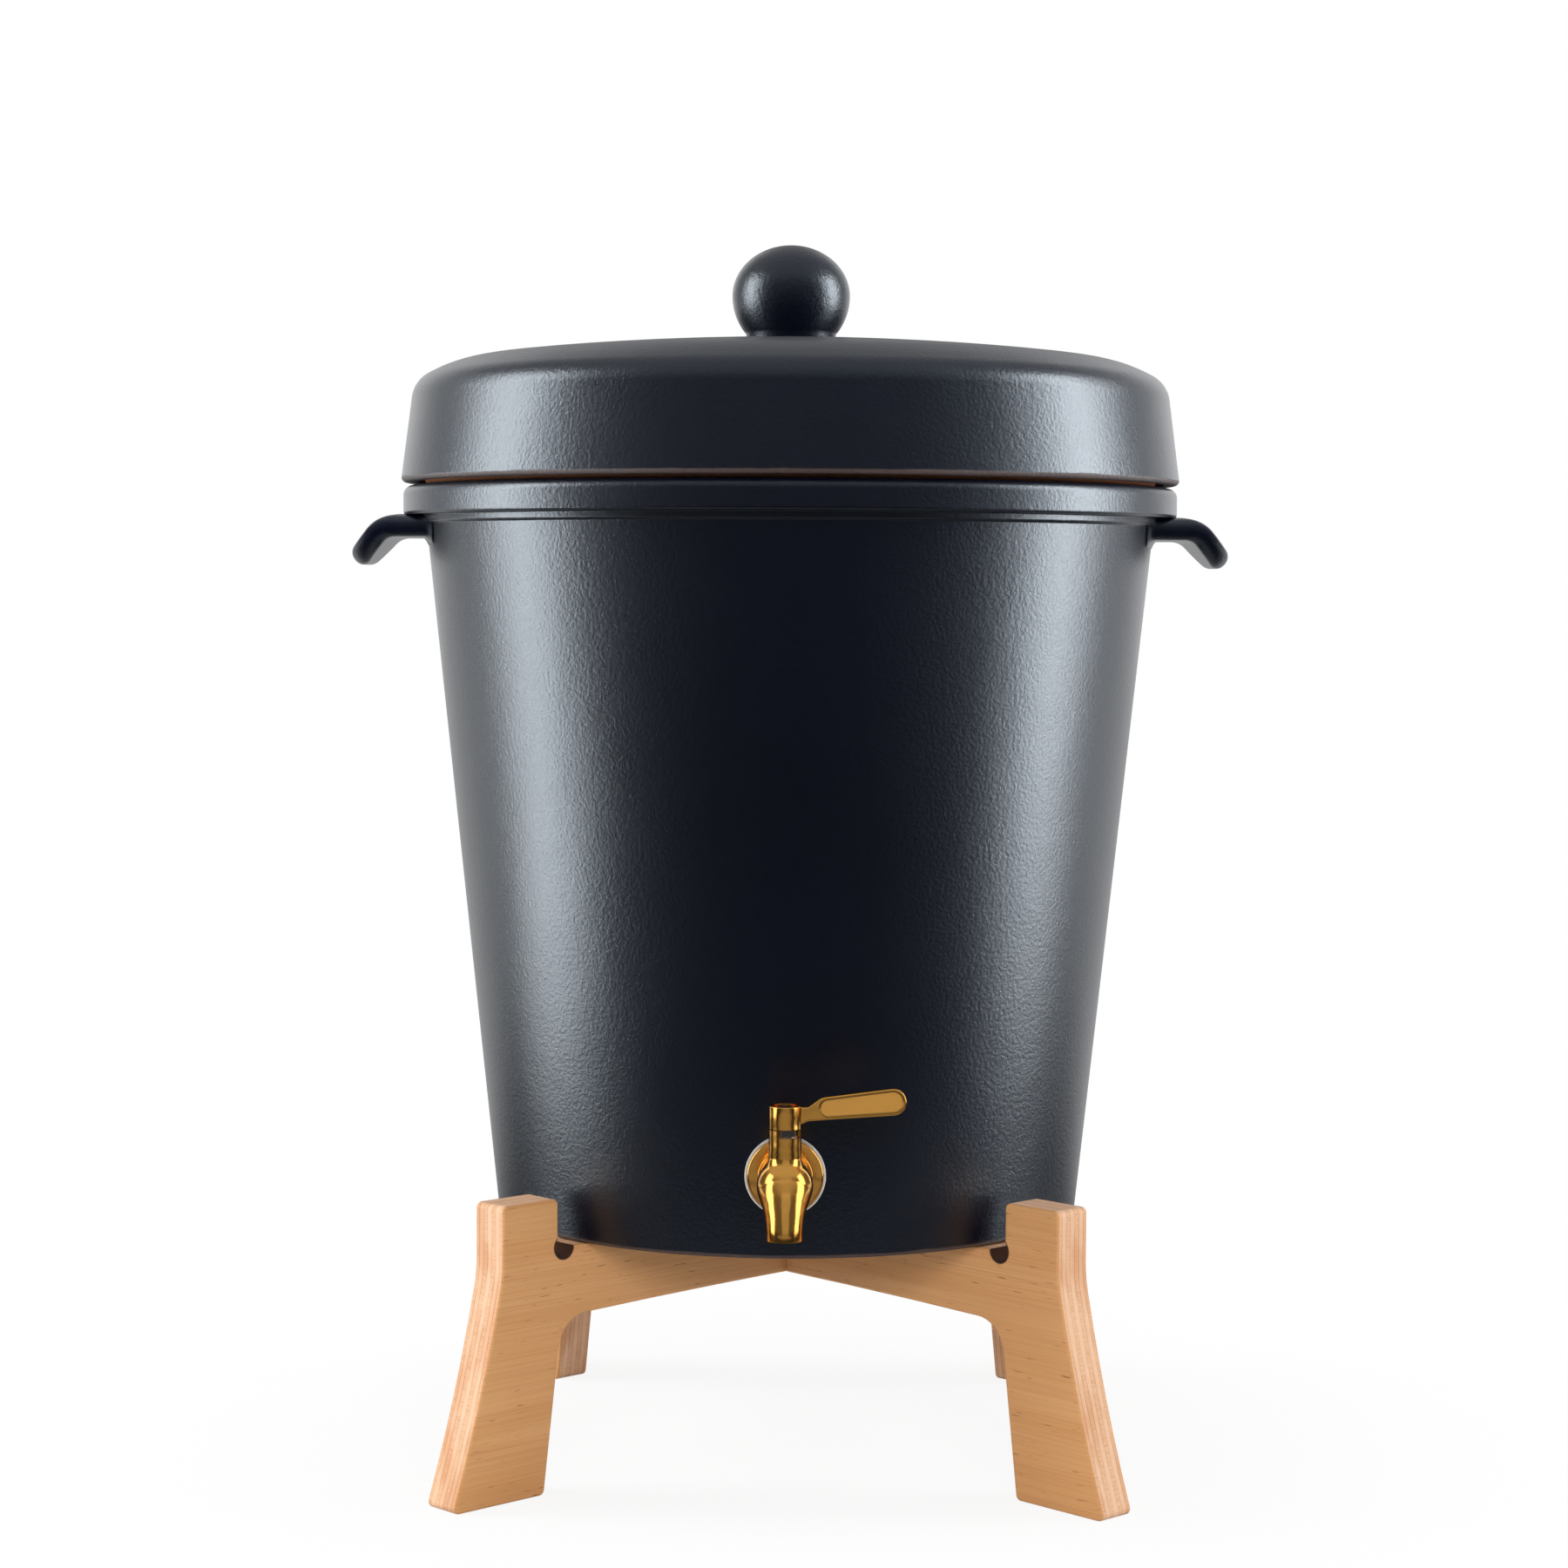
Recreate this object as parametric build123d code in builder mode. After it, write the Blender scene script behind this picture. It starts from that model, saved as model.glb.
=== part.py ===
from build123d import *
from math import asin, atan2, cos, hypot, radians, sin, sqrt, tan
import os

# A clay water filter: a glazed crock with a lidded clay filter pot in its mouth and a
# quarter-turn tap near its foot, standing on two plywood boards that cross on the diagonals.
# Millimetres, +Z up, front towards -Y, origin on the crock's axis at floor level.

# Clearances
rest_gap = 0.3
running_clearance = 0.1
fit_clearance = 0.05
lap_clearance = 0.1

# Stand boards
board_thickness = 18.0
stand_turn = -0.9
seat_height = 102.6
rail_depth = 27.6
rail_sag = 2.0
ear_rise = 20.4
ear_width = 29.3
ear_play = 12.5
shoulder_drop = 8.1
foot_reach = 26.2
foot_width = 48.0
leg_rake = 0.13
flare_radius = 700.0
shoulder_round = 60.0
arch_round = 15.0
relief_hole_diameter = 10.0
relief_hole_step = 3.0
ear_corner_round = 2.5
foot_corner_round = 2.5
board_edge_break = 1.0

# Crock
crock_foot_radius = 127.0
crock_flare = 0.1055
crock_height = 316.4
crock_wall = 9.0
crock_floor = 11.0
foot_ring_width = 13.0
foot_ring_depth = 3.0
foot_edge_round = 2.0
inside_corner_round = 12.0
collar_proud = 9.6
collar_height = 12.7
collar_top_round = 4.0
collar_bottom_round = 1.5
mouth_round = 3.0
bead_height = 3.3
bead_step = 2.0
bead_round = 1.2

# Lug handles of the crock
handle_thickness = 9.4
handle_drop = 4.9
handle_reach = 6.9
handle_tip_length = 15.9
handle_tip_angle = 48.8
handle_bend_radius = 12.0
handle_root_width = 86.0
handle_tip_width = 45.0
handle_tip_round = 15.0
handle_web = 5.0

# Lid and knob
lid_overhang = 1.1
lid_gap = 1.5
lid_taper = 0.13
lid_crown = 20.0
lid_dome_radius = 1150.0
lid_wall = 8.0
lid_brow_inset = 18.0
lid_brow_rise = 1.6
lid_brow_round = 60.0
lid_shoulder_round = 13.0
lid_edge_round = 2.0
lid_seat_width = 14.0
lid_inner_round = 4.0
knob_radius = 25.7
knob_rise = 20.3
knob_crown = 22.1
knob_neck_radius = 19.3
knob_neck_height = 3.2
knob_land = 1.0

# Filter pot
filter_rim_height = 43.0
filter_rim_play = 2.0
filter_rim_width = 13.0
filter_play = 3.5
filter_depth = 255.0
filter_foot_radius = 106.0
filter_wall = 12.0
filter_floor = 14.0
filter_rim_round = 3.0
filter_foot_round = 8.0

# Tap: seat on the crock and the clamp that holds it
tap_rise = 35.5
pad_radius = 18.0
pad_proud = 0.3
pad_draft = 35.0
inner_pad_radius = 16.0
inner_pad_proud = 1.2
shank_radius = 7.9
hole_play = 0.3
water_way_radius = 4.3
outer_gasket_radius = 16.5
outer_gasket_thickness = 1.5
flange_radius = 15.5
flange_thickness = 2.2
flange_step_radius = 11.25
flange_step_thickness = 1.5
inner_gasket_radius = 13.0
inner_gasket_thickness = 2.0
washer_radius = 12.5
washer_thickness = 1.2
nut_across_flats = 24.0
nut_thickness = 6.5
thread_end = 3.5

# Tap: body, neck and spout
stem_reach = 24.2
bulb_radius = 11.3
neck_radius = 6.55
neck_rise = 22.8
neck_fillet = 5.0
elbow_radius = 9.0
spout_reach = 10.2
spout_drop = 20.0
spout_wall = 2.0
outlet_depth = 9.0
port_radius = 2.8

# Spout sections from the bulb to the tip: share of the reach, share of the drop, radius, tilt
spout_sections = [
    (0.0, 0.0, 11.0, 45.0),
    (0.44, 0.265, 9.8, 35.0),
    (0.745, 0.5, 8.2, 25.0),
    (0.94, 0.75, 7.4, 12.0),
    (1.0, 1.0, 7.0, 0.0),
]

# Tap: quarter-turn valve
stem_radius = 4.5
chamber_depth = 8.0
stem_port_radius = 2.75
stem_neck_radius = 3.3
bush_radius = 5.0
bush_height = 6.0
bush_proud = 0.2
ring_section = 1.5
ring_groove_width = 1.8
lower_ring_drop = 5.2
upper_ring_rise = 9.5
seat_ring_reach = 9.0
seat_ring_bore = 2.9
drive_square = 4.4

# Tap: lever
hub_gap = 0.4
hub_height = 9.1
hub_recess_radius = 4.9
hub_recess_depth = 1.8
hub_web = 1.4
hub_edge_round = 0.5
lever_turn = 90.0
tongue_half_angle = 22.0
tongue_end_play = 2.0
tongue_clearance = 0.4
notch_depth = 3.0
lever_thickness = 3.4
lever_length = 48.2
lever_end_radius = 5.4
lever_end_rise = 10.8
arm_underside = 3.0
arm_top = 8.6
arm_reach = 9.2
paddle_start = 14.5
paddle_start_top = 12.5
paddle_rim = 1.1
arm_foot = 1.2
paddle_recess_start = 13.8
paddle_recess_depth = 0.5
lever_edge_round = 0.6

# Tap: lever screw
screw_radius = 1.2
screw_length = 8.0
screw_head_radius = 3.1
screw_head_height = 1.4
screw_socket_radius = 1.3
screw_socket_depth = 0.8

# Heights and radii that follow from the sizes above
rail_underside = seat_height - rail_depth
lap_height = seat_height - rail_depth / 2
ear_top = seat_height + ear_rise
shoulder_height = seat_height - shoulder_drop
ear_inner_radius = crock_foot_radius + ear_play
ear_outer_radius = ear_inner_radius + ear_width
foot_outer_radius = ear_outer_radius + foot_reach
crock_base = seat_height + rest_gap
crock_top = crock_base + crock_height
collar_base = crock_top - collar_height
filter_seat = crock_top + rest_gap
filter_top = filter_seat + filter_rim_height
collar_radius = crock_foot_radius + crock_flare * (collar_base - crock_base) + collar_proud
handle_bend_reach = collar_radius + handle_reach
lid_seat = filter_top + rest_gap
lid_edge = crock_top + lid_gap
lid_edge_radius = collar_radius + lid_overhang
lid_apex = lid_seat + lid_crown
tap_height = crock_base + tap_rise
neck_top = tap_height + neck_rise
hub_base = neck_top + hub_gap


def crock_radius(height):
    """Outer radius of the crock's tapered wall at a height above the floor."""
    return crock_foot_radius + crock_flare * (height - crock_base)


def lid_radius(height):
    """Outer radius of the lid's tapered skirt at a height above the floor."""
    return lid_edge_radius - lid_taper * (height - lid_edge)


def dome_height(radius, apex):
    """Height of a shallow dome at a radius, where its highest point is apex."""
    return apex - lid_dome_radius + sqrt(lid_dome_radius**2 - radius**2)


def round_corner(sketch, point, radius):
    """Rounds the corner of the sketch being drawn that lies nearest to a point."""
    fillet(sketch.vertices().sort_by_distance(point)[0], radius)


def write(piece, name):
    """Labels a finished piece and writes its file."""
    piece.part.label = name
    export_step(piece.part, f"parts/{name}.step")


os.makedirs("parts", exist_ok=True)


# Stand boards: one outline cut from plywood, stood on each diagonal and halved together
def stand_board(plane, slot_bottom, slot_top):
    """Board with ears, legs, arch and relief holes, its edges broken, and the slot of its half lap."""
    foot_inner_radius = foot_outer_radius - foot_width
    throat = (foot_inner_radius - leg_rake * rail_underside, rail_underside - rail_sag)
    foot_corner = (foot_outer_radius, 0)
    shoulder = (ear_outer_radius, shoulder_height)
    with BuildPart() as board:
        with BuildSketch(plane) as outline:
            with BuildLine():
                TangentArc((0, rail_underside), throat, tangent=(1, 0))
                Polyline(throat, (foot_inner_radius, 0), foot_corner)
                RadiusArc(foot_corner, shoulder, flare_radius)
                Polyline(
                    shoulder,
                    (ear_outer_radius, ear_top),
                    (ear_inner_radius, ear_top),
                    (ear_inner_radius, seat_height),
                    (0, seat_height),
                    (0, rail_underside),
                )
            make_face()
            round_corner(outline, throat, arch_round)
            round_corner(outline, (foot_inner_radius, 0), foot_corner_round)
            round_corner(outline, foot_corner, foot_corner_round)
            round_corner(outline, shoulder, shoulder_round)
            round_corner(outline, (ear_outer_radius, ear_top), ear_corner_round)
            round_corner(outline, (ear_inner_radius, ear_top), ear_corner_round)
            mirror(about=Plane.YZ)
        extrude(amount=board_thickness / 2, both=True)
        broad_faces = board.faces().filter_by(Axis((0, 0, 0), plane.z_dir))
        fillet(broad_faces.edges(), board_edge_break)
        with BuildSketch(plane):
            hole_radius = ear_inner_radius - relief_hole_step
            with Locations((hole_radius, seat_height), (-hole_radius, seat_height)):
                Circle(relief_hole_diameter / 2)
            with Locations((0, (slot_bottom + slot_top) / 2)):
                Rectangle(board_thickness + 2 * lap_clearance, slot_top - slot_bottom)
        extrude(amount=board_thickness, both=True, mode=Mode.SUBTRACT)
    return board


outward = Vector(1, 0, 0).rotate(Axis.Z, 45 + stand_turn)
crossing = Vector(0, 1, 0).rotate(Axis.Z, 45 + stand_turn)
slot_overrun = 5.0

lower_plane = Plane(origin=(0, 0, 0), x_dir=outward, z_dir=-crossing)
stand_board_lower = stand_board(lower_plane, lap_height, seat_height + slot_overrun)
write(stand_board_lower, "stand_board_lower")

upper_plane = Plane(origin=(0, 0, 0), x_dir=crossing, z_dir=outward)
stand_board_upper = stand_board(upper_plane, rail_underside - slot_overrun, lap_height)
write(stand_board_upper, "stand_board_upper")

# Lug handle: a flat clay tongue, bent down and rounded off towards its tip
handle_axis = collar_base - handle_drop
handle_root = crock_radius(handle_axis) - crock_wall / 2
bend_run = handle_bend_radius * tan(radians(handle_tip_angle / 2))
bend_start = handle_bend_reach - bend_run
bend_length = handle_bend_radius * radians(handle_tip_angle)
tip_length = handle_tip_length + handle_thickness / 2 - bend_run
handle_length = bend_start - handle_root + bend_length + tip_length


def handle_section(to_tip):
    """Rounded section across the handle at a distance back from its tip."""
    past_straight = handle_length - to_tip - (bend_start - handle_root)
    turned = min(max(past_straight / handle_bend_radius, 0), radians(handle_tip_angle))
    beyond = past_straight - handle_bend_radius * turned
    reach = bend_start + handle_bend_radius * sin(turned) + beyond * cos(turned)
    height = handle_axis - handle_bend_radius * (1 - cos(turned)) - beyond * sin(turned)
    width = handle_tip_width + (handle_root_width - handle_tip_width) * to_tip / handle_length
    if to_tip < handle_tip_round:
        width -= 2 * (handle_tip_round - sqrt(handle_tip_round**2 - (handle_tip_round - to_tip) ** 2))
    thickness = handle_thickness
    if to_tip < handle_thickness / 2:
        thickness = 2 * sqrt((handle_thickness / 2) ** 2 - (handle_thickness / 2 - to_tip) ** 2)
    across = Plane(origin=(reach, 0, height), x_dir=(0, 1, 0), z_dir=(cos(turned), 0, -sin(turned)))
    with BuildSketch(across) as section:
        SlotOverall(width, thickness)
    return section.sketch


with BuildPart() as handle:
    root_steps = [handle_length, tip_length + bend_length]
    bend_steps = [tip_length + bend_length * share for share in (0.75, 0.5, 0.25, 0)]
    tip_steps = [tip_length * share for share in (0.66, 0.45, 0.3, 0.2, 0.1, 0.04, 0.005)]
    loft([handle_section(step) for step in root_steps + bend_steps + tip_steps], ruled=True)
    with BuildSketch(Plane.XZ):
        handle_top = handle_axis + handle_thickness / 2
        with BuildLine():
            Polyline(
                (handle_root, handle_axis),
                (handle_root, collar_base),
                (collar_radius, collar_base),
                (collar_radius + handle_web, handle_top),
                (collar_radius + handle_web, handle_axis),
                close=True,
            )
        make_face()
    extrude(amount=handle_tip_width / 2, both=True)

# Crock: thrown wall on a foot ring, with a bead and collar at the mouth
mid_wall = crock_radius(tap_height) - crock_wall / 2
pad_face = crock_radius(tap_height + pad_radius) + pad_proud
inner_pad_face = crock_radius(tap_height - inner_pad_radius) - crock_wall - inner_pad_proud
tap_axis = Axis((0, 0, tap_height), (0, -1, 0))
tap_plane = Plane(origin=(0, 0, tap_height), x_dir=(0, -1, 0), z_dir=(-1, 0, 0))

with BuildPart() as crock:
    with BuildSketch(Plane.XZ) as section:
        foot_inner_radius = crock_foot_radius - foot_ring_width
        floor_height = crock_base + crock_floor
        bead_base = collar_base - bead_height
        bead_radius = crock_radius(collar_base) + bead_step
        mouth_radius = crock_radius(crock_top) - crock_wall
        floor_radius = crock_radius(floor_height) - crock_wall
        with BuildLine():
            Polyline(
                (0, crock_base + foot_ring_depth),
                (foot_inner_radius, crock_base + foot_ring_depth),
                (foot_inner_radius, crock_base),
                (crock_foot_radius, crock_base),
                (crock_radius(bead_base), bead_base),
                (bead_radius, bead_base),
                (bead_radius, collar_base),
                (collar_radius, collar_base),
                (collar_radius, crock_top),
                (mouth_radius, crock_top),
                (floor_radius, floor_height),
                (0, floor_height),
                close=True,
            )
        make_face()
        round_corner(section, (crock_foot_radius, crock_base), foot_edge_round)
        round_corner(section, (bead_radius, bead_base), bead_round)
        round_corner(section, (collar_radius, collar_base), collar_bottom_round)
        round_corner(section, (collar_radius, crock_top), collar_top_round)
        round_corner(section, (mouth_radius, crock_top), mouth_round)
        round_corner(section, (floor_radius, floor_height), inside_corner_round)
    revolve(axis=Axis.Z)
    # Flat pads for the tap's gaskets, drafted into both faces of the wall
    with BuildSketch(tap_plane):
        outer_draft = (pad_face - mid_wall) * tan(radians(pad_draft))
        inner_draft = (mid_wall - inner_pad_face) * tan(radians(pad_draft))
        with BuildLine():
            Polyline(
                (pad_face, 0),
                (pad_face, pad_radius),
                (mid_wall, pad_radius + outer_draft),
                (mid_wall, inner_pad_radius + inner_draft),
                (inner_pad_face, inner_pad_radius),
                (inner_pad_face, 0),
                close=True,
            )
        make_face()
    revolve(axis=tap_axis)
    with BuildSketch(Plane(origin=(0, 0, tap_height), x_dir=(1, 0, 0), z_dir=(0, -1, 0))):
        Circle(shank_radius + hole_play)
    extrude(amount=pad_face + 1, mode=Mode.SUBTRACT)
write(crock, "crock")

# Handles: luted on under the collar, so each ends where the crock's outside begins
with BuildPart() as crock_handle_right:
    add(handle.part)
    add(crock.part, mode=Mode.SUBTRACT)
write(crock_handle_right, "crock_handle_right")

with BuildPart() as crock_handle_left:
    mirror(crock_handle_right.part, about=Plane.YZ)
write(crock_handle_left, "crock_handle_left")

# Filter pot: porous clay, hung by its rim in the crock's mouth
filter_base = filter_top - filter_depth


def filter_rim_radius(height):
    """Outer radius of the filter's rim band, which follows the inside of the lid's skirt."""
    return lid_radius(height) - lid_wall - filter_rim_play


with BuildPart() as clay_filter_pot:
    with BuildSketch(Plane.XZ) as section:
        neck_radius_of_pot = crock_radius(crock_top) - crock_wall - filter_play
        pot_mouth = filter_rim_radius(filter_top) - filter_rim_width
        pot_floor = filter_base + filter_floor
        with BuildLine():
            Polyline(
                (0, filter_base),
                (filter_foot_radius, filter_base),
                (neck_radius_of_pot, filter_seat),
                (filter_rim_radius(filter_seat), filter_seat),
                (filter_rim_radius(filter_top), filter_top),
                (pot_mouth, filter_top),
                (filter_foot_radius - filter_wall, pot_floor),
                (0, pot_floor),
                close=True,
            )
        make_face()
        round_corner(section, (filter_foot_radius, filter_base), filter_foot_round)
        round_corner(section, (filter_foot_radius - filter_wall, pot_floor), filter_foot_round)
        round_corner(section, (filter_rim_radius(filter_seat), filter_seat), filter_rim_round)
        round_corner(section, (filter_rim_radius(filter_top), filter_top), filter_rim_round)
        round_corner(section, (pot_mouth, filter_top), filter_rim_round)
    revolve(axis=Axis.Z)
write(clay_filter_pot, "clay_filter_pot")

# Lid: tapered skirt and shallow dome, resting on the filter's rim by a flat seat ring
knob_land_radius = knob_neck_radius + knob_land
knob_base = dome_height(knob_land_radius, lid_apex)

with BuildPart() as lid:
    with BuildSketch(Plane.XZ) as section:
        seat_outer = lid_radius(lid_seat) - lid_wall
        seat_inner = filter_rim_radius(filter_top) - lid_seat_width
        shoulder = (lid_radius(lid_seat + lid_brow_rise), lid_seat + lid_brow_rise)
        brow_radius = shoulder[0] - lid_brow_inset
        brow = (brow_radius, dome_height(brow_radius, lid_apex))
        inner_apex = lid_apex - lid_wall
        with BuildLine():
            Line(shoulder, brow)
            RadiusArc(brow, (knob_land_radius, knob_base), -lid_dome_radius)
            Polyline((knob_land_radius, knob_base), (0, knob_base), (0, inner_apex))
            RadiusArc((0, inner_apex), (seat_inner, dome_height(seat_inner, inner_apex)), lid_dome_radius)
            Polyline(
                (seat_inner, dome_height(seat_inner, inner_apex)),
                (seat_inner, lid_seat),
                (seat_outer, lid_seat),
                (lid_edge_radius - lid_wall, lid_edge),
                (lid_edge_radius, lid_edge),
                shoulder,
            )
        make_face()
        round_corner(section, shoulder, lid_shoulder_round)
        round_corner(section, brow, lid_brow_round)
        round_corner(section, (lid_edge_radius, lid_edge), lid_edge_round)
        round_corner(section, (lid_edge_radius - lid_wall, lid_edge), lid_edge_round)
        round_corner(section, (seat_outer, lid_seat), 0.5)
    revolve(axis=Axis.Z)
write(lid, "lid")

# Knob: a ball with a slightly flattened crown on a short neck, luted onto the lid
with BuildPart() as lid_knob:
    with BuildSketch(Plane.XZ) as section:
        knob_centre = knob_base + knob_rise
        under_ball = knob_centre - sqrt(knob_radius**2 - (knob_neck_radius + 0.4) ** 2)
        with BuildLine():
            Line((0, knob_base), (knob_neck_radius, knob_base))
            Line((knob_neck_radius, knob_base), (knob_neck_radius + 0.4, under_ball))
            RadiusArc((knob_neck_radius + 0.4, under_ball), (knob_radius, knob_centre), -knob_radius)
            Spline(
                (knob_radius, knob_centre),
                (knob_radius * cos(radians(45)), knob_centre + knob_crown * sin(radians(45))),
                (0, knob_centre + knob_crown),
                tangents=((0, 1), (-1, 0)),
            )
            Line((0, knob_centre + knob_crown), (0, knob_base))
        make_face()
    revolve(axis=Axis.Z)
write(lid_knob, "lid_knob")

# Tap: the body is one casting, with its shank through the crock's wall
stem_axis_reach = pad_face + stem_reach
stem_axis = Axis((0, -stem_axis_reach, 0), (0, 0, 1))
outer_gasket_face = pad_face + outer_gasket_thickness
flange_face = outer_gasket_face + flange_thickness
step_face = flange_face + flange_step_thickness
washer_face = inner_pad_face - inner_gasket_thickness
nut_face = washer_face - washer_thickness
thread_tip = nut_face - nut_thickness - thread_end
chamber_radius = stem_radius + running_clearance
neck_base = sqrt(bulb_radius**2 - neck_radius**2)
spout_tip = tap_height - spout_drop
notch_start = -(lever_turn + tongue_half_angle + tongue_end_play)
notch_end = tongue_half_angle + tongue_end_play


def above_tap(height):
    """Horizontal plane with its origin on the stem's axis, at a height above the tap's axis."""
    return Plane(origin=(0, -stem_axis_reach, tap_height + height), x_dir=(1, 0, 0), z_dir=(0, 0, 1))


def ring_sector(plane, inner_radius, outer_radius, start_angle, end_angle):
    """Part of a flat ring round the stem's axis between two angles."""
    with BuildSketch(plane) as sector:
        with BuildLine():
            turn = end_angle - start_angle
            outer = CenterArc((0, 0), outer_radius, start_angle, turn)
            inner = CenterArc((0, 0), inner_radius, start_angle, turn)
            Line(outer @ 0, inner @ 0)
            Line(outer @ 1, inner @ 1)
        make_face()
    return sector.sketch


with BuildPart() as tap_body:
    with BuildSketch(tap_plane) as clamp:
        with BuildLine():
            Polyline(
                (thread_tip, 0),
                (thread_tip, shank_radius - 1),
                (thread_tip + 1, shank_radius),
                (outer_gasket_face, shank_radius),
                (outer_gasket_face, flange_radius),
                (flange_face, flange_radius),
                (flange_face, flange_step_radius),
                (step_face, flange_step_radius),
                (step_face, elbow_radius),
                (stem_axis_reach, elbow_radius),
                (stem_axis_reach, 0),
                close=True,
            )
        make_face()
        round_corner(clamp, (flange_face, flange_radius), 0.9)
        round_corner(clamp, (step_face, flange_step_radius), 0.6)
        round_corner(clamp, (step_face, elbow_radius), 0.8)
    revolve(axis=tap_axis)
    with BuildSketch(tap_plane) as bulb:
        neck_side = stem_axis_reach + neck_radius
        with BuildLine():
            RadiusArc((stem_axis_reach, -bulb_radius), (stem_axis_reach + bulb_radius, 0), -bulb_radius)
            RadiusArc((stem_axis_reach + bulb_radius, 0), (neck_side, neck_base), -bulb_radius)
            Polyline(
                (neck_side, neck_base),
                (neck_side, neck_rise),
                (stem_axis_reach, neck_rise),
                (stem_axis_reach, -bulb_radius),
            )
        make_face()
        round_corner(bulb, (neck_side, neck_base), neck_fillet)
    revolve(axis=stem_axis)
    for reach_share, drop_share, radius, tilt in spout_sections:
        centre = (0, -stem_axis_reach - spout_reach * reach_share, tap_height - spout_drop * drop_share)
        along = (0, -sin(radians(tilt)), -cos(radians(tilt)))
        with BuildSketch(Plane(origin=centre, x_dir=(1, 0, 0), z_dir=along)):
            Circle(radius)
    loft()
    # Water way, chamber with the bush's counterbore, port and outlet
    with BuildSketch(above_tap(-chamber_depth)):
        Circle(chamber_radius)
    extrude(amount=chamber_depth + neck_rise, mode=Mode.SUBTRACT)
    with BuildSketch(Plane(origin=(0, -thread_tip, tap_height), x_dir=(1, 0, 0), z_dir=(0, -1, 0))):
        Circle(water_way_radius)
    extrude(amount=stem_axis_reach - chamber_radius / 3 - thread_tip, mode=Mode.SUBTRACT)
    with BuildSketch(above_tap(neck_rise - bush_height + bush_proud)):
        Circle(bush_radius + fit_clearance)
    extrude(amount=bush_height, mode=Mode.SUBTRACT)
    outlet_centre = (0, -stem_axis_reach - spout_reach, spout_tip)
    with BuildSketch(Plane(origin=outlet_centre, x_dir=(1, 0, 0), z_dir=(0, 0, 1))):
        Circle(spout_sections[-1][2] - spout_wall)
    extrude(amount=outlet_depth, mode=Mode.SUBTRACT)
    port_drop = spout_drop - outlet_depth + port_radius / 2
    port_length = hypot(spout_reach, port_drop)
    port_down = (0, -spout_reach / port_length, -port_drop / port_length)
    port_plane = Plane(origin=(0, -stem_axis_reach, tap_height), x_dir=(1, 0, 0), z_dir=port_down)
    with BuildSketch(port_plane):
        Circle(port_radius)
    extrude(amount=port_length, mode=Mode.SUBTRACT)
    # Notch in the neck's rim: its two ends stop the lever's tongue
    notch_plane = above_tap(neck_rise - notch_depth)
    notch = ring_sector(notch_plane, bush_radius - 0.5, neck_radius + 2, notch_start, notch_end)
    extrude(notch, amount=notch_depth + 1, mode=Mode.SUBTRACT)
write(tap_body, "tap_body")


def clamp_ring(face, outer_radius, thickness, edge_round):
    """Ring threaded on the tap's shank, from a face inwards, with its rim rounded."""
    with BuildPart() as ring:
        with BuildSketch(Plane(origin=(0, -face, tap_height), x_dir=(1, 0, 0), z_dir=(0, -1, 0))):
            Circle(outer_radius)
            Circle(shank_radius + fit_clearance, mode=Mode.SUBTRACT)
        extrude(amount=thickness)
        rims = ring.edges().filter_by(GeomType.CIRCLE).group_by(SortBy.RADIUS)[-1]
        fillet(rims, edge_round)
    return ring


tap_outer_gasket = clamp_ring(pad_face, outer_gasket_radius, outer_gasket_thickness, 0.5)
write(tap_outer_gasket, "tap_outer_gasket")

tap_inner_gasket = clamp_ring(washer_face, inner_gasket_radius, inner_gasket_thickness, 0.5)
write(tap_inner_gasket, "tap_inner_gasket")

tap_washer = clamp_ring(nut_face, washer_radius, washer_thickness, 0.3)
write(tap_washer, "tap_washer")

# Hex nut with bevelled corners
with BuildPart() as tap_nut:
    nut_outer_face = nut_face - nut_thickness
    with BuildSketch(Plane(origin=(0, -nut_outer_face, tap_height), x_dir=(1, 0, 0), z_dir=(0, -1, 0))):
        RegularPolygon(radius=nut_across_flats / 2, side_count=6, major_radius=False)
        Circle(shank_radius + fit_clearance, mode=Mode.SUBTRACT)
    extrude(amount=nut_thickness)
    with BuildSketch(tap_plane):
        nut_corner = nut_across_flats / 2 / cos(radians(30))
        with BuildLine():
            Polyline(
                (nut_outer_face, 0),
                (nut_outer_face, nut_corner - 1.6),
                (nut_outer_face + 0.9, nut_corner),
                (nut_face - 0.9, nut_corner),
                (nut_face, nut_corner - 1.6),
                (nut_face, 0),
                close=True,
            )
        make_face()
    revolve(axis=tap_axis, mode=Mode.INTERSECT)
write(tap_nut, "tap_nut")

# Valve seat: a bearing ring in the shank, its end hollowed to the stem's curve
with BuildPart() as valve_seat:
    seat_outer_end = stem_axis_reach - seat_ring_reach
    with BuildSketch(Plane(origin=(0, -seat_outer_end, tap_height), x_dir=(1, 0, 0), z_dir=(0, -1, 0))):
        Circle(water_way_radius - fit_clearance)
        Circle(seat_ring_bore, mode=Mode.SUBTRACT)
    extrude(amount=seat_ring_reach)
    with BuildSketch(above_tap(-chamber_depth)):
        Circle(chamber_radius)
    extrude(amount=2 * chamber_depth, mode=Mode.SUBTRACT)
write(valve_seat, "valve_seat")

# Bush pressed into the neck, which guides the stem and keeps it in
bush_base = neck_rise - bush_height + bush_proud
with BuildPart() as stem_retaining_bush:
    with BuildSketch(above_tap(bush_base)):
        Circle(bush_radius)
        Circle(stem_neck_radius + running_clearance, mode=Mode.SUBTRACT)
    extrude(amount=bush_height)
    chamfer(stem_retaining_bush.edges().sort_by(Axis.Z)[-2:], 0.3)
write(stem_retaining_bush, "stem_retaining_bush")

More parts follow.
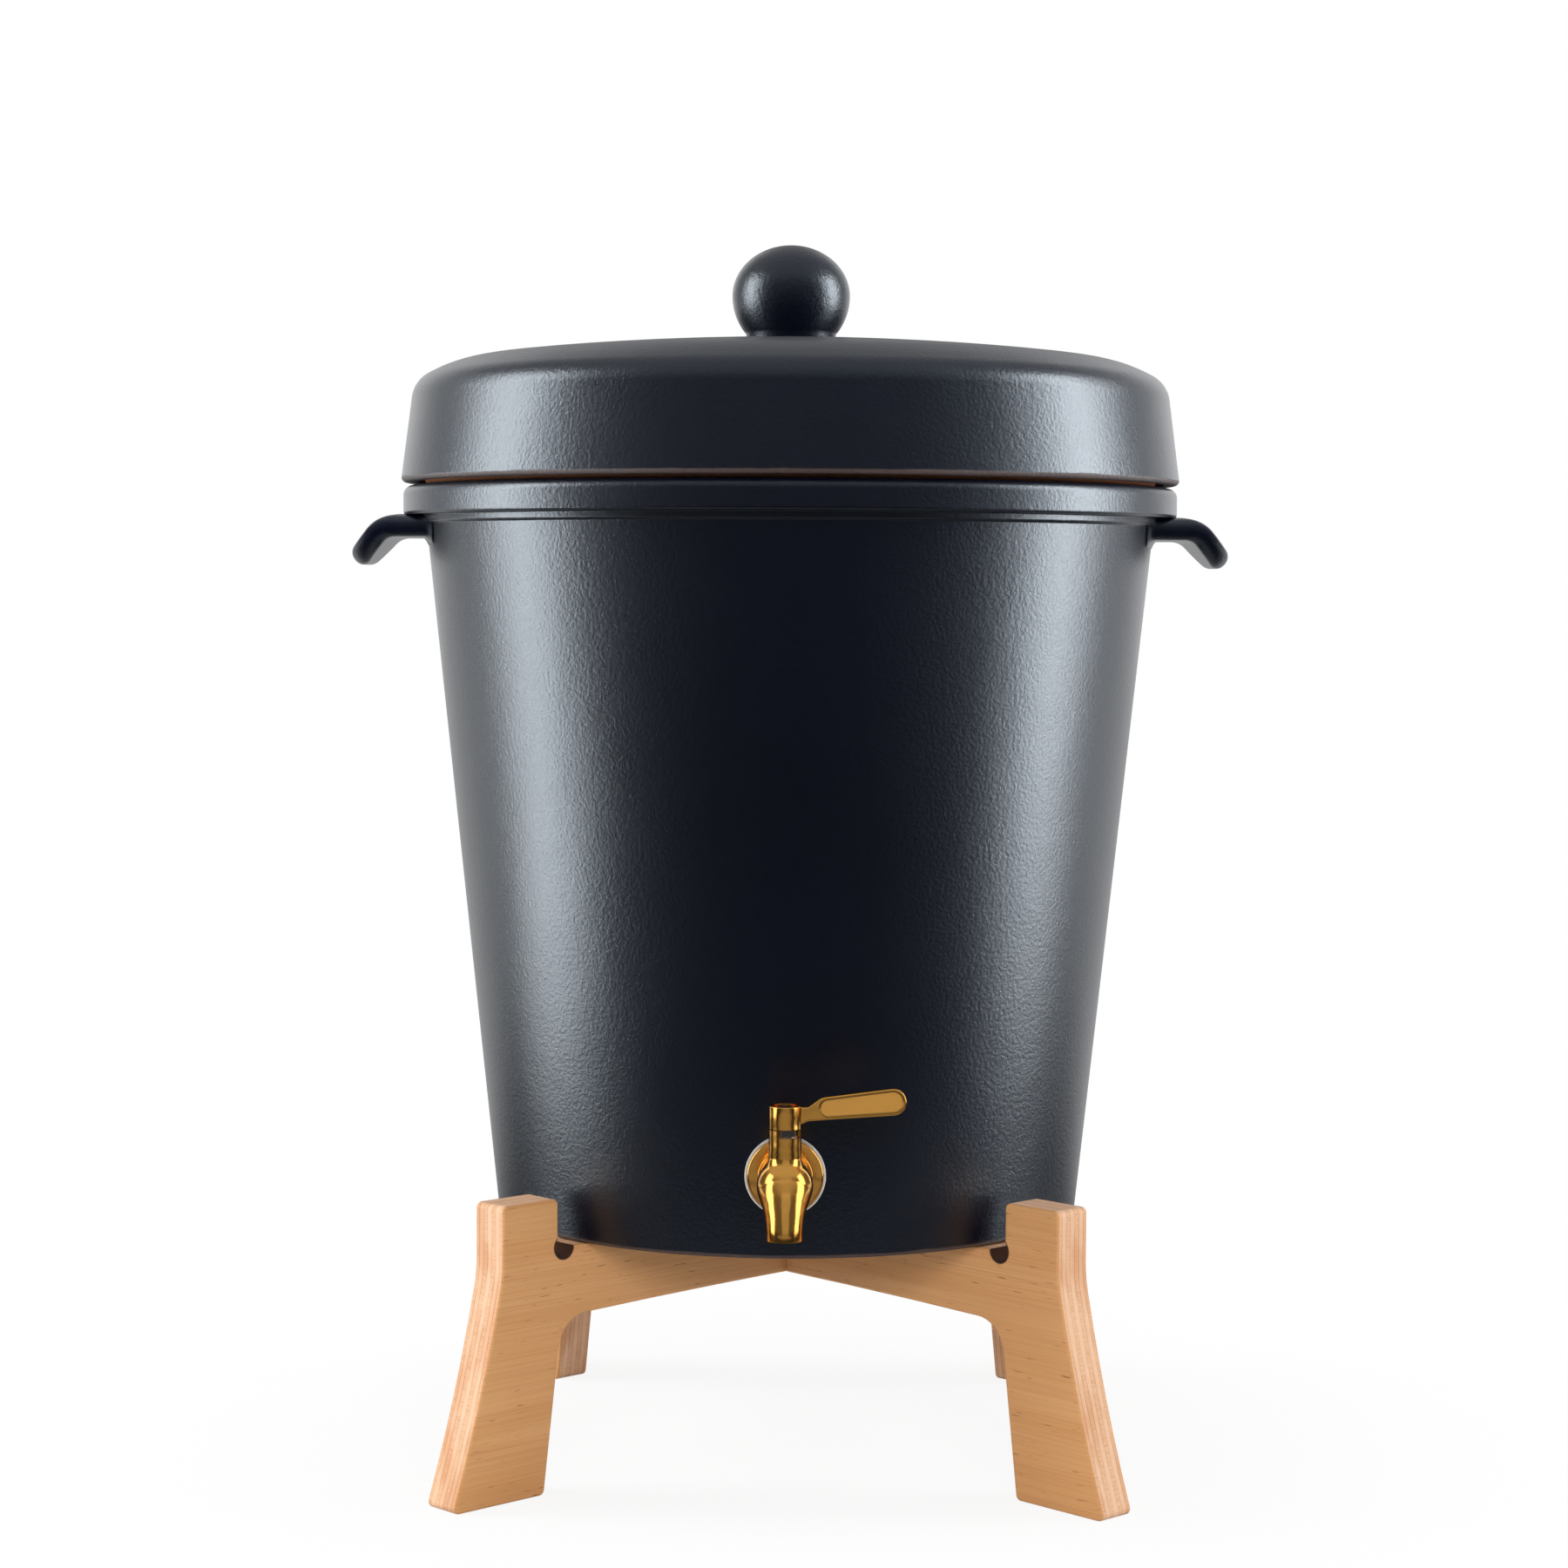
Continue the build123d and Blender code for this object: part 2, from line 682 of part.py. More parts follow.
# Valve stem: cross bore, two ring grooves, a neck in the bush and a square for the lever
hub_rise = neck_rise + hub_gap
square_height = hub_height - hub_recess_depth - hub_web - fit_clearance
stem_base = rest_gap - chamber_depth
groove_radius = chamber_radius - fit_clearance - ring_section

with BuildPart() as valve_stem:
    with BuildSketch(above_tap(stem_base)):
        Circle(stem_radius)
    extrude(amount=bush_base - running_clearance - stem_base)
    with BuildSketch(above_tap(0)):
        Circle(stem_neck_radius)
    extrude(amount=hub_rise - hub_gap / 2)
    with BuildSketch(above_tap(0)):
        Rectangle(drive_square, drive_square)
    extrude(amount=hub_rise + square_height)
    for ring_rise in (-lower_ring_drop, upper_ring_rise):
        with BuildSketch(above_tap(ring_rise - ring_groove_width / 2)):
            Circle(stem_radius + 1)
            Circle(groove_radius, mode=Mode.SUBTRACT)
        extrude(amount=ring_groove_width, mode=Mode.SUBTRACT)
    with BuildSketch(Plane(origin=(0, -stem_axis_reach, tap_height), x_dir=(0, 1, 0), z_dir=(1, 0, 0))):
        Circle(stem_port_radius)
    extrude(amount=stem_radius + 1, both=True, mode=Mode.SUBTRACT)
    screw_head_seat = hub_rise + hub_height - hub_recess_depth
    with BuildSketch(above_tap(screw_head_seat - screw_length)):
        Circle(screw_radius)
    extrude(amount=screw_length, mode=Mode.SUBTRACT)
write(valve_stem, "valve_stem")


def stem_ring(ring_rise):
    """Sealing ring lying in one of the stem's grooves."""
    with BuildPart() as ring:
        ring_side = Plane(origin=(0, -stem_axis_reach, tap_height), x_dir=(1, 0, 0), z_dir=(0, -1, 0))
        with BuildSketch(ring_side):
            with Locations((groove_radius + ring_section / 2, ring_rise)):
                Circle(ring_section / 2)
        revolve(axis=stem_axis)
    return ring


stem_ring_lower = stem_ring(-lower_ring_drop)
write(stem_ring_lower, "stem_ring_lower")

stem_ring_upper = stem_ring(upper_ring_rise)
write(stem_ring_upper, "stem_ring_upper")

# Lever: a round hub with a stop tongue under it, and a flat upright arm and paddle
lever_plane = Plane(origin=(0, -stem_axis_reach, hub_base), x_dir=(1, 0, 0), z_dir=(0, -1, 0))
paddle_end = (lever_length - lever_end_radius, lever_end_rise)


def touch_point(point, side):
    """Where a line from a point touches the paddle's round end, above (1) or below (-1)."""
    run = paddle_end[0] - point[0]
    rise = paddle_end[1] - point[1]
    distance = hypot(run, rise)
    angle = atan2(rise, run) + side * asin(lever_end_radius / distance)
    length = sqrt(distance**2 - lever_end_radius**2)
    return (point[0] + length * cos(angle), point[1] + length * sin(angle))


def lever_outline(start, inset):
    """Side view of the arm and paddle, drawn in by an inset and cut off before a start."""
    hub_side = hub_recess_radius + 0.4
    under_arm = (arm_reach, arm_underside)
    over_paddle = (paddle_start, paddle_start_top)
    with BuildSketch(lever_plane) as outline:
        with BuildLine():
            Polyline(
                (hub_side, arm_top),
                (hub_side, arm_foot),
                under_arm,
                touch_point(under_arm, -1),
                touch_point(over_paddle, 1),
                over_paddle,
                (arm_reach, arm_top),
                close=True,
            )
        make_face()
        round_corner(outline, under_arm, 4)
        round_corner(outline, over_paddle, 5)
        round_corner(outline, (arm_reach, arm_top), 2)
        with Locations(paddle_end):
            Circle(lever_end_radius)
        if inset > 0:
            offset(amount=-inset)
        with Locations((start / 2, lever_end_rise)):
            Rectangle(start, 4 * lever_end_radius, mode=Mode.SUBTRACT)
    return outline.sketch


with BuildPart() as lever_arm:
    extrude(lever_outline(hub_recess_radius + 0.2, 0), amount=lever_thickness / 2, both=True)
    arm_faces = lever_arm.faces().filter_by(Axis.Y)
    fillet(arm_faces.edges(), lever_edge_round)
    recess = lever_outline(paddle_recess_start, paddle_rim)
    recess_floor = lever_thickness / 2 - paddle_recess_depth
    for side in (1, -1):
        recess_face = recess.moved(Location((0, -side * recess_floor, 0)))
        extrude(recess_face, amount=side * lever_thickness, mode=Mode.SUBTRACT)

with BuildPart() as tap_lever:
    with BuildSketch(above_tap(hub_rise)):
        Circle(neck_radius)
    extrude(amount=hub_height)
    fillet(tap_lever.edges().sort_by(Axis.Z)[-1], hub_edge_round)
    add(lever_arm.part)
    with BuildSketch(above_tap(hub_rise + hub_height - hub_recess_depth)):
        Circle(hub_recess_radius)
    extrude(amount=hub_recess_depth + lever_end_radius, mode=Mode.SUBTRACT)
    with BuildSketch(above_tap(hub_rise)):
        Rectangle(drive_square + 2 * fit_clearance, drive_square + 2 * fit_clearance)
    extrude(amount=square_height + fit_clearance, mode=Mode.SUBTRACT)
    with BuildSketch(above_tap(hub_rise)):
        Circle(screw_radius + fit_clearance)
    extrude(amount=hub_height, mode=Mode.SUBTRACT)
    tongue_plane = above_tap(neck_rise - notch_depth + tongue_clearance)
    tongue_inner = bush_radius + tongue_clearance
    tongue = ring_sector(tongue_plane, tongue_inner, neck_radius, -tongue_half_angle, tongue_half_angle)
    extrude(tongue, amount=notch_depth - tongue_clearance + hub_gap)
write(tap_lever, "tap_lever")

# Lever screw, with a hex socket in its head
with BuildPart() as lever_screw:
    with BuildSketch(above_tap(screw_head_seat)):
        Circle(screw_head_radius)
    extrude(amount=screw_head_height)
    fillet(lever_screw.edges().sort_by(Axis.Z)[-1], 0.4)
    with BuildSketch(above_tap(screw_head_seat - screw_length)):
        Circle(screw_radius)
    extrude(amount=screw_length)
    with BuildSketch(above_tap(screw_head_seat + screw_head_height - screw_socket_depth)):
        RegularPolygon(radius=screw_socket_radius, side_count=6)
    extrude(amount=screw_socket_depth, mode=Mode.SUBTRACT)
write(lever_screw, "lever_screw")
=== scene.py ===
# %% [markdown]
# # A clay water filter on a crossed plywood stand
#
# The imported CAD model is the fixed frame: it says where every piece is and how it moves.
# This script gives it its looks. It swaps the plainer solids for finer meshes of the same
# size, and gives each surface a material with the detail of the real one. Lengths of the
# object are in millimetres, and are turned into metres where a mesh is made. Lengths in a
# material, and the places of the lights, are in metres, as Blender's own are.

from math import cos, hypot, pi, radians, sin, sqrt, tan

import bmesh
import bpy
from mathutils import Matrix, Vector


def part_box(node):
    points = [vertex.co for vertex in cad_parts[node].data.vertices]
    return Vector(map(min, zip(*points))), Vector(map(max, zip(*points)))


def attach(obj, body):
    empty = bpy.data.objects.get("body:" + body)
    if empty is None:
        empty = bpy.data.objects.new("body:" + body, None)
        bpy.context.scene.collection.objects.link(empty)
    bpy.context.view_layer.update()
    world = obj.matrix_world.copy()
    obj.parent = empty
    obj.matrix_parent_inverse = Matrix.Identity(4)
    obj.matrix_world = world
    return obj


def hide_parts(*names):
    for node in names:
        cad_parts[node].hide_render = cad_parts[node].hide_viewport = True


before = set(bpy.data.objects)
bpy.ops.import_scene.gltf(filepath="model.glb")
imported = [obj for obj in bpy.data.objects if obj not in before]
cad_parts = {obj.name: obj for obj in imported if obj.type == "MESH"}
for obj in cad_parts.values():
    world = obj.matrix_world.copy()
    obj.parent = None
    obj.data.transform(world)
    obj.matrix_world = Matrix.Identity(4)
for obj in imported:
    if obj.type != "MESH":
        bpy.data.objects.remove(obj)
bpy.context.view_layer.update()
scene = bpy.context.scene
print("nodes:", sorted(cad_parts))

# %% [markdown]
# ## Sizes shared with the solids
#
# The finer meshes stand exactly where the solids stand, so their sizes are measured on the
# frame where a box can give them, and repeated from the CAD source where it can't.

# %% Boxes of the CAD nodes
MM = 0.001


def node_box(name):
    """Lowest and highest corner of a CAD node, in millimetres."""
    low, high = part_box(name)
    return Vector(low) / MM, Vector(high) / MM


crock_low, crock_high = node_box("crock")
knob_low, knob_high = node_box("lid_knob")
lid_low = node_box("lid")[0]
tap_high = node_box("tap_body")[1]
print(f"crock {crock_low.z:.1f} to {crock_high.z:.1f}, knob {knob_low.z:.1f} to {knob_high.z:.1f}")

# %% Outlines of the crock and the lid
crock_base = crock_low.z
crock_top = crock_high.z
foot_radius = 127.0
wall_lean = 0.1055
collar_radius = crock_high.x
collar_base = crock_top - 12.7
lid_edge = lid_low.z
lid_edge_radius = collar_radius + 1.1
skirt_lean = 0.13
lid_seat = lid_edge + 42.1
dome_curve = 1150.0
lid_apex = lid_seat + 20.0


def crock_radius(height):
    """Outer radius of the crock's tapered wall at a height above the floor."""
    return foot_radius + wall_lean * (height - crock_base)


def lid_radius(height):
    """Outer radius of the lid's tapered skirt at a height above the floor."""
    return lid_edge_radius - skirt_lean * (height - lid_edge)


def dome_height(radius, apex):
    """Height of the lid's shallow dome at a radius, where its highest point is apex."""
    return apex - dome_curve + sqrt(dome_curve**2 - radius**2)


print(f"collar {collar_radius:.2f} from {collar_base:.1f}, lid edge {lid_edge:.1f}, apex {lid_apex:.1f}")

# %% [markdown]
# ## The camera
#
# The photograph was taken with a long lens from a little above the middle of the crock. The
# place and lens were fitted to the picture's edges, so that a piece of the right size falls
# on its own outline. The picture is also turned by a little over a quarter of a degree.

# %% Camera
camera_data = bpy.data.cameras.new("camera")
camera = bpy.data.objects.new("camera", camera_data)
scene.collection.objects.link(camera)
camera_data.sensor_width = 36.0
camera_data.lens = 79.73
camera_place = Vector((6.98, -1528.0, 378.6))
heading = radians(90.34)
pitch = radians(3.337)
roll = radians(0.288)
forward = Vector((cos(pitch) * cos(heading), cos(pitch) * sin(heading), -sin(pitch)))
level_right = Vector((sin(heading), -cos(heading), 0))
level_up = level_right.cross(forward)
camera_right = level_right * cos(roll) + level_up * sin(roll)
camera_up = level_up * cos(roll) - level_right * sin(roll)
turn = Matrix((camera_right, camera_up, -forward)).transposed().to_4x4()
camera.matrix_world = Matrix.Translation(camera_place * MM) @ turn
scene.camera = camera
scene.view_settings.view_transform = "Standard"
print("camera at", [round(v, 4) for v in camera.location], "lens", camera_data.lens)

# %% [markdown]
# ## A short way to write shader maths
#
# A material is a small network of nodes. Writing each node and each wire by hand hides the
# idea, so `Wire` wraps one output: adding or multiplying two wires makes the node that does
# it. Every operator also has its reflected form, so that `1 - mask` works.


# %% Wires
def maths(operation, *values, clamp=False):
    """A Math node on wires and plain numbers."""
    network = next(value.network for value in values if isinstance(value, Wire))
    return network.node("ShaderNodeMath", {"operation": operation, "use_clamp": clamp}, *values)


class Wire:
    """One output of a node, with the arithmetic that a plain number has."""

    def __init__(self, network, socket):
        self.network = network
        self.socket = socket

    def __add__(self, other):
        return maths("ADD", self, other)

    def __radd__(self, other):
        return maths("ADD", other, self)

    def __sub__(self, other):
        return maths("SUBTRACT", self, other)

    def __rsub__(self, other):
        return maths("SUBTRACT", other, self)

    def __mul__(self, other):
        return maths("MULTIPLY", self, other)

    def __rmul__(self, other):
        return maths("MULTIPLY", other, self)

    def __truediv__(self, other):
        return maths("DIVIDE", self, other)

    def __rtruediv__(self, other):
        return maths("DIVIDE", other, self)

    def size(self):
        return maths("ABSOLUTE", self)

    def power(self, exponent):
        return maths("POWER", self, exponent)

    def ramp(self, low, high):
        """0 below low and 1 above high, with a soft step between."""
        settings = {"interpolation_type": "SMOOTHSTEP", "clamp": True}
        ends = {"From_Min": low, "From_Max": high}
        return self.network.node("ShaderNodeMapRange", settings, Value=self, **ends)


# %% [markdown]
# ## Networks of nodes
#
# Materials and the world are both networks, so they share one class. Its method `node` makes
# any kind of node: the settings come first, because some of them change the sockets, and then
# the values or wires go in. The rest are short names for what this object needs often.


# %% Networks
class Network:
    """A node tree that is emptied and filled again."""

    def __init__(self, tree, output_kind):
        self.tree = tree
        self.tree.nodes.clear()
        self.out = self.tree.nodes.new(output_kind)

    def plug(self, socket, value):
        """Joins a wire to a socket, or writes a number, a vector or a colour on it."""
        if isinstance(value, Wire):
            self.tree.links.new(value.socket, socket)
        elif socket.type == "RGBA":
            socket.default_value = (*value, 1.0)
        else:
            socket.default_value = value

    def node(self, kind, settings=None, *values, output=0, **inputs):
        """Makes a node: its settings first, then its inputs, in order or by name."""
        made = self.tree.nodes.new(kind)
        for name, value in (settings or {}).items():
            setattr(made, name, value)
        named = {name.replace("_", " "): value for name, value in inputs.items()}
        for key, value in list(enumerate(values)) + list(named.items()):
            self.plug(made.inputs[key], value)
        return Wire(self, made.outputs[output])

    def axes(self, vector):
        """The three parts of a vector."""
        split = self.node("ShaderNodeSeparateXYZ", None, vector)
        return [Wire(self, part) for part in split.socket.node.outputs]

    def ray(self, kind):
        """1 where the ray that asks is of this kind, and 0 for all others."""
        return self.node("ShaderNodeLightPath", output=f"Is {kind} Ray")

    def choose(self, share, first, second):
        """The first of two shaders where the share is 0, and the second where it is 1."""
        return self.node("ShaderNodeMixShader", None, share, first, second)

    def show(self, shader):
        self.plug(self.out.inputs["Surface"], shader)


# %% Materials as networks
class Shade(Network):
    """A material with one Principled shader and the nodes that feed it."""

    def __init__(self, name, **constants):
        self.material = bpy.data.materials.new(name)
        self.material.use_nodes = True
        super().__init__(self.material.node_tree, "ShaderNodeOutputMaterial")
        self.shader = self.tree.nodes.new("ShaderNodeBsdfPrincipled")
        self.lit = Wire(self, self.shader.outputs["BSDF"])
        self.show(self.lit)
        for socket, value in constants.items():
            self.feed(socket.replace("_", " "), value)

    def feed(self, socket, value):
        self.plug(self.shader.inputs[socket], value)

    def bump(self, height, strength, distance):
        """Bends the shader's normal by a height, given in metres of real depth."""
        depth = {"Strength": strength, "Distance": distance}
        self.feed("Normal", self.node("ShaderNodeBump", None, Height=height, **depth))

    def place(self):
        """Position on the object, in metres."""
        return self.node("ShaderNodeTexCoord", output="Object")

    def vector(self, x, y, z):
        return self.node("ShaderNodeCombineXYZ", None, x, y, z)

    def scaled(self, vector, x, y, z):
        """A vector stretched along each axis, so that a texture can run along one of them."""
        settings = {"operation": "MULTIPLY"}
        return self.node("ShaderNodeVectorMath", settings, vector, (x, y, z))

    def noise(self, vector, scale, detail=2.0, roughness=0.5, warp=0.0):
        """A cloudy pattern from 0 to 1, with about as many clouds to the metre as its scale."""
        look = {"Scale": scale, "Detail": detail, "Roughness": roughness, "Distortion": warp}
        return self.node("ShaderNodeTexNoise", None, output="Fac", Vector=vector, **look)

    def blend(self, share, low, high):
        """Mix of two colours by a share; the Mix node's colours are its sockets 6 and 7."""
        mixed = self.node("ShaderNodeMix", {"data_type": "RGBA"}, share, output=2)
        self.plug(mixed.socket.node.inputs[6], low)
        self.plug(mixed.socket.node.inputs[7], high)
        return mixed


def grey(value):
    return (value, value, value)


def darker(colour, share):
    return tuple(part * share for part in colour)


# %% [markdown]
# ## Glaze
#
# The crock and lid are dipped in a dark blue-black satin glaze. It isn't quite smooth: as it
# melts and sets it leaves a fine orange-peel, and its tone drifts a little where it ran
# thicker. It could be painted on as pictures, but noise in three dimensions needs no seams
# and gives the same grain on wall, lid and knob. The last two millimetres above an edge are
# wiped bare before firing, so that the pot doesn't stick to the kiln shelf, and show as a
# thin brown line.

# %% Glaze material
line_wander = 0.0012
line_blur = 0.0004


def glaze(name, bare_below):
    """Satin glaze down to a height, in millimetres, and bare clay below it."""
    shade = Shade(name, IOR=1.7, Specular_IOR_Level=0.5, Specular_Tint=(0.80, 0.91, 1.0))
    place = shade.place()
    height = shade.axes(place)[2]
    drift = shade.noise(place, 9.0, detail=4.0)
    fleck = shade.noise(place, 1100.0, detail=2.0, roughness=0.6)
    tone = shade.blend(drift, (0.0005, 0.0010, 0.0060), (0.0010, 0.0020, 0.0095))
    tone = shade.blend(fleck.ramp(0.58, 0.75) * 0.3, tone, (0.006, 0.008, 0.012))
    clay_grain = shade.noise(place, 700.0, detail=3.0)
    clay = shade.blend(clay_grain, (0.040, 0.022, 0.017), (0.085, 0.046, 0.036))
    wander = shade.noise(place, 60.0, detail=2.0) * line_wander
    line = bare_below * MM
    glazed = (height + wander - line_wander / 2).ramp(line - line_blur, line + line_blur)
    shade.feed("Base Color", shade.blend(glazed, clay, tone))
    satin = drift * 0.05 + 0.30
    bare = 0.7
    shade.feed("Roughness", glazed * (satin - bare) + bare)
    peel = shade.noise(place, 620.0, detail=3.0, roughness=0.65)
    waves = shade.noise(place, 40.0, detail=1.0)
    shade.bump(peel * 0.2 + waves * 0.18, 1.0, 0.001)
    return shade.material


crock_line = crock_base + 1.6
lid_line = lid_edge + 1.9
crock_glaze = glaze("crock_glaze", crock_line)
lid_glaze = glaze("lid_glaze", lid_line)
print("glaze ends at", round(crock_line, 1), "and", round(lid_line, 1))

# %% [markdown]
# ## Plywood
#
# Plywood is thin sheets of wood glued with their grain crossed, so a solid texture gives the
# right picture on every cut. The depth through the board picks the ply, and each ply has its
# own grain direction. On the broad faces the outer ply shows fine level grain. On the edges
# the plies show as stripes, one kind of grain in one and the other in the next, with darker
# patches and thin dark glue lines between them.

# %% Plywood, its two kinds of cut
board_thickness = 0.018
plies = 7
veneer_line = 0.008


def face_veneer(shade, place, level, pores):
    """The broad face: two warm tones in level streaks, with dark pores."""
    streaks = shade.noise(shade.scaled(place, 5.0, 60.0, 70.0), 1.0, detail=3.0, warp=0.4)
    tone = shade.blend(streaks.ramp(0.3, 0.75), (0.62, 0.308, 0.116), (0.69, 0.368, 0.157))
    tone = shade.blend(level.ramp(0.4, 0.8) * 0.5, tone, (0.47, 0.205, 0.073))
    return shade.blend(pores.ramp(0.70, 0.80) * 0.75, tone, (0.25, 0.095, 0.03))


def cut_edge(shade, place, depth, level):
    """The board's edge: plies with crossed grain, and the glue between them."""
    layer = (depth + board_thickness / 2) * (plies / board_thickness)
    sheet = maths("FLOOR", layer)
    fraction = layer - sheet
    crossed = maths("MODULO", sheet, 2.0).ramp(0.4, 0.6)
    glue = 1.0 - fraction.size().ramp(0.0, 0.07) * (1.0 - fraction.ramp(0.93, 1.0))
    upright = shade.noise(shade.scaled(place, 700.0, 260.0, 14.0), 1.0, detail=4.0, roughness=0.6)
    patch = shade.noise(shade.scaled(place, 60.0, 90.0, 34.0), 1.0, detail=3.0)
    core = shade.blend(upright, (0.68, 0.40, 0.23), (0.80, 0.54, 0.37))
    inner = shade.blend(level.ramp(0.3, 0.8), (0.74, 0.45, 0.27), (0.60, 0.32, 0.165))
    tone = shade.blend(crossed, inner, core)
    tone = shade.blend(patch.ramp(0.45, 0.68) * 0.5, tone, (0.58, 0.25, 0.105))
    return shade.blend(glue * (patch.ramp(0.35, 0.6) * 0.6 + 0.2), tone, (0.13, 0.05, 0.022))


# %% [markdown]
# ## The boards' drilled corners
#
# Where an ear of the stand rises beside the seat, a hole 10 mm across is drilled into the
# corner, so that the board doesn't split there. The hole's wall and a thin ring round it are
# darkened as painted shade inside the hole. The hole's middle lies at the seat's height, at a
# known reach along the board, so the distance from that line is all that the mask needs, and
# no picture has to be painted.

# %% Plywood material
stand_turn = -0.9
seat_height = (crock_base - 0.3) * MM
hole_reach = 136.5 * MM
hole_shade_reach = 5.5 * MM


def plywood(name, turn_degrees, seed):
    """Plywood for a board whose length lies at an angle to the X axis."""
    shade = Shade(name, IOR=1.5, Specular_IOR_Level=0.35, Coat_Roughness=0.35, Coat_Weight=0.12)
    back_turn = {"Vector": shade.place(), "Angle": radians(-turn_degrees)}
    turned = shade.node("ShaderNodeVectorRotate", {"rotation_type": "Z_AXIS"}, **back_turn)
    along, depth, height = shade.axes(turned)
    place = shade.vector(along + seed, depth, height)
    level = shade.noise(shade.scaled(place, 10.0, 260.0, 1500.0), 1.0, detail=4.0, roughness=0.62)
    pores = shade.noise(shade.scaled(place, 110.0, 600.0, 1300.0), 1.0, detail=1.0)
    inside = 1.0 - depth.size().ramp(veneer_line - 0.0002, veneer_line + 0.0002)
    face = face_veneer(shade, place, level, pores)
    tone = shade.blend(inside, face, cut_edge(shade, place, depth, level))
    aside, above = along.size() - hole_reach, height - seat_height
    from_hole = (aside.power(2.0) + above.power(2.0)).power(0.5)
    # Painted shade: the hole's wall and a thin ring round it are darkened, and made rougher
    hole_shade = 1.0 - from_hole.ramp(hole_shade_reach - 0.0003, hole_shade_reach + 0.0003)
    shade.feed("Base Color", shade.blend(hole_shade, tone, (0.055, 0.022, 0.012)))
    shade.feed("Roughness", level * 0.15 + 0.42 + hole_shade * 0.4)
    shade.bump(level + pores * 0.7, 0.35, 0.00012)
    return shade.material


wood_lower = plywood("plywood_lower", 45 + stand_turn, 0.0)
wood_upper = plywood("plywood_upper", 135 + stand_turn, 0.37)
print("boards at", 45 + stand_turn, "and", 135 + stand_turn, "degrees")

# %% [markdown]
# ## Metals
#
# The tap is brass with a polished gold finish, so nearly all that it shows is its
# surroundings. The faintest unevenness in roughness and shape keeps it from looking like a
# mirror ball. The lever's paddle has a shallow satin recess with round ends. It is too
# shallow to need a mesh of its own, so a mask finds the distance from its edge: inside it the
# metal is rougher and lower, and a thin dark line of painted shade runs along its step.


# %% Metal materials
def slot_edge(shade, place, slot):
    """How far outside a tapered slot with round ends a point is, from the front, in millimetres."""
    (start_x, start_z, start_radius), (end_x, end_z, end_radius) = slot
    run, climb = end_x - start_x, end_z - start_z
    x, _, z = shade.axes(place)
    x, z = x / MM - start_x, z / MM - start_z
    share = maths("DIVIDE", x * run + z * climb, run * run + climb * climb, clamp=True)
    aside, above = x - share * run, z - share * climb
    distance = (aside * aside + above * above).power(0.5)
    return distance - share * (end_radius - start_radius) - start_radius


def metal(name, colour, roughness, wear, recess=None):
    """Polished metal; a recess is a satin slot: start and end, each with x, z and radius."""
    shade = Shade(name, Metallic=1.0)
    place = shade.place()
    smear = shade.noise(place, 120.0, detail=3.0)
    tone = shade.blend(smear * 0.5, colour, darker(colour, 0.9))
    rough = smear * wear + roughness
    relief = shade.noise(place, 140.0, detail=1.0) * 0.25
    if recess:
        edge = slot_edge(shade, place, recess)
        satin = 1.0 - edge.ramp(-0.45, 0.45)
        # Painted shade: a thin dark line along the recess's step
        step = 1.0 - edge.size().ramp(0.1, 0.6)
        tone = shade.blend(step * 0.9, tone, darker(colour, 0.25))
        rough = rough + satin * 0.3
        relief = relief - satin * 0.45
        shade.feed("Metallic", 1.0 - satin * 0.25)
    shade.feed("Base Color", tone)
    shade.feed("Roughness", rough)
    shade.bump(relief, 1.0, 0.001)
    return shade.material


gold_tone = (0.95, 0.48, 0.105)
hub_base = tap_high.z + 0.4
lever_recess = ((17.3, hub_base + 8.2, 3.5), (42.8, hub_base + 10.8, 4.3))
gold = metal("gold", gold_tone, 0.13, 0.06)
lever_gold = metal("lever_gold", gold_tone, 0.13, 0.06, recess=lever_recess)
steel = metal("steel", (0.50, 0.50, 0.52), 0.22, 0.12)
print(f"recess from height {lever_recess[0][1]:.1f} to {lever_recess[1][1]:.1f}")

# %% [markdown]
# ## Rubber, plastic and bare clay
#
# The seals are soft and slightly dusty, and the pale ones let a little light in. The filter
# pot inside is porous terracotta, so it is rough all over, with rings from the wheel, fine
# pits and a few pale specks.


# %% Rubber, plastic and clay materials
def rubber(name, colour, roughness, **constants):
    """Rubber or plastic with a little dust."""
    shade = Shade(name, **constants)
    dust = shade.noise(shade.place(), 500.0, detail=3.0)
    shade.feed("Base Color", shade.blend(dust * 0.3, colour, darker(colour, 0.82)))
    shade.feed("Roughness", dust * 0.15 + roughness)
    shade.bump(dust, 0.2, 0.00004)
    return shade.material


def fired_clay(name):
    """Porous terracotta: throwing rings, fine pits and a few pale specks."""
    shade = Shade(name, Specular_IOR_Level=0.2)
    place = shade.place()
    height = shade.axes(place)[2]
    cloud = shade.noise(place, 14.0, detail=5.0)
    grit = shade.noise(place, 650.0, detail=4.0, roughness=0.65)
    clay = shade.blend(cloud, (0.45, 0.17, 0.085), (0.60, 0.26, 0.14))
    shade.feed("Base Color", shade.blend(grit.ramp(0.62, 0.72) * 0.6, clay, (0.75, 0.48, 0.33)))
    shade.feed("Roughness", grit * 0.1 + 0.82)
    rings = maths("SINE", (height + cloud * 0.003) * 900.0)
    shade.bump(rings * 0.3 + grit * 0.6, 0.5, 0.0004)
    return shade.material


soft_glow = {"Subsurface_Weight": 0.2, "Subsurface_Radius": (0.002, 0.002, 0.002)}
silicone = rubber("silicone", (0.52, 0.50, 0.47), 0.4, **soft_glow)
black_rubber = rubber("black_rubber", (0.015, 0.015, 0.016), 0.45)
bearing_plastic = rubber("bearing_plastic", (0.83, 0.83, 0.81), 0.35)
terracotta = fired_clay("terracotta")
print("materials:", [material.name for material in bpy.data.materials])

# %% [markdown]
# ## Turned and drawn shapes
#
# Two helpers make every finer mesh. `outline` rounds the corners of a polygon, and `skin`
# stretches a surface over a row of rings. A lathe is the same surface over rings that are
# circles, so pots and knobs and a bent handle all come from one idea.


